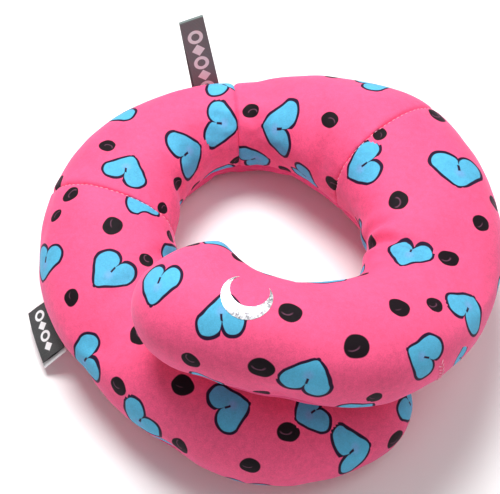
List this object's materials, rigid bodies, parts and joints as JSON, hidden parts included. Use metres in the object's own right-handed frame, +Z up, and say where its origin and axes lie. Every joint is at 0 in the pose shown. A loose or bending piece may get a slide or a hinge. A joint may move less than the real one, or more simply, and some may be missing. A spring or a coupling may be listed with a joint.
{
  "type": "neck pillow",
  "caption": "Wrap-around stuffed neck pillow: a soft tube round the neck whose two arms cross in front, one over the other, with a hang loop and side label.",
  "frame": {"origin": "middle of the neck opening, on the table", "axes": "+Z up, +Y towards the back of the neck, +X towards the right arm, which lies over the left one"},
  "size_m": [0.271, 0.278, 0.134],
  "materials": {
    "printed_velour": "soft short-pile velour, printed with hearts and dots",
    "plain_velour": "plain soft velour",
    "fibre_fill": "loose polyester fibre",
    "grey_ribbon": "grosgrain tape",
    "black_label": "woven satin label",
    "care_tape": "printed satin tape",
    "silver_foil": "crackled silver transfer foil",
    "thread": "polyester thread"
  },
  "bodies": {
    "back": {"back_left_panel": "printed_velour", "back_right_panel": "printed_velour", "back_base": "plain_velour", "back_fill": "fibre_fill"},
    "left_arm": {"left_arm_panel": "printed_velour", "left_arm_base": "plain_velour", "left_arm_fill": "fibre_fill"},
    "left_tip": {"left_tip_panel": "printed_velour", "left_tip_base": "plain_velour", "left_tip_fill": "fibre_fill"},
    "right_arm": {"right_arm_panel": "printed_velour", "right_arm_base": "plain_velour", "right_arm_fill": "fibre_fill"},
    "right_tip": {"right_tip_panel": "printed_velour", "right_tip_base": "plain_velour", "right_tip_fill": "fibre_fill", "foil_moon": "silver_foil", "closing_stitch": "thread"},
    "hang_loop": {"hang_loop": "grey_ribbon"},
    "labels": {"side_label": "black_label", "care_label": "care_tape"}
  },
  "joints": [
    {"name": "left_shoulder", "type": "hinge", "parent": "back", "child": "left_arm", "pos_m": [-0.1169, 0.0521, 0.03], "axis": [0, 0, -1], "range_deg": [0, 25], "stiffness_Nm_per_rad": 0.5},
    {"name": "left_bend", "type": "hinge", "parent": "left_arm", "child": "left_tip", "pos_m": [-0.0972, -0.0706, 0.03], "axis": [0, 0, -1], "range_deg": [0, 20], "stiffness_Nm_per_rad": 0.4},
    {"name": "right_shoulder", "type": "hinge", "parent": "back", "child": "right_arm", "pos_m": [0.1202, 0.0751, 0.04], "axis": [0, 0, 1], "range_deg": [0, 25], "stiffness_Nm_per_rad": 0.5},
    {"name": "right_bend", "type": "hinge", "parent": "right_arm", "child": "right_tip", "pos_m": [0.1258, -0.0669, 0.06], "axis": [0, 0, 1], "range_deg": [0, 20], "stiffness_Nm_per_rad": 0.4},
    {"name": "loop_flap", "type": "hinge", "parent": "back", "child": "hang_loop", "pos_m": [-0.0139, 0.1221, 0.0161], "axis": [0.9853, 0.1377, 0.1014], "range_deg": [-75, 3], "stiffness_Nm_per_rad": 0.004},
    {"name": "label_flap", "type": "hinge", "parent": "left_arm", "child": "labels", "pos_m": [-0.1149, -0.0255, 0.0181], "axis": [0.2164, -0.9763, 0], "range_deg": [-15, 15], "stiffness_Nm_per_rad": 0.001}
  ]
}
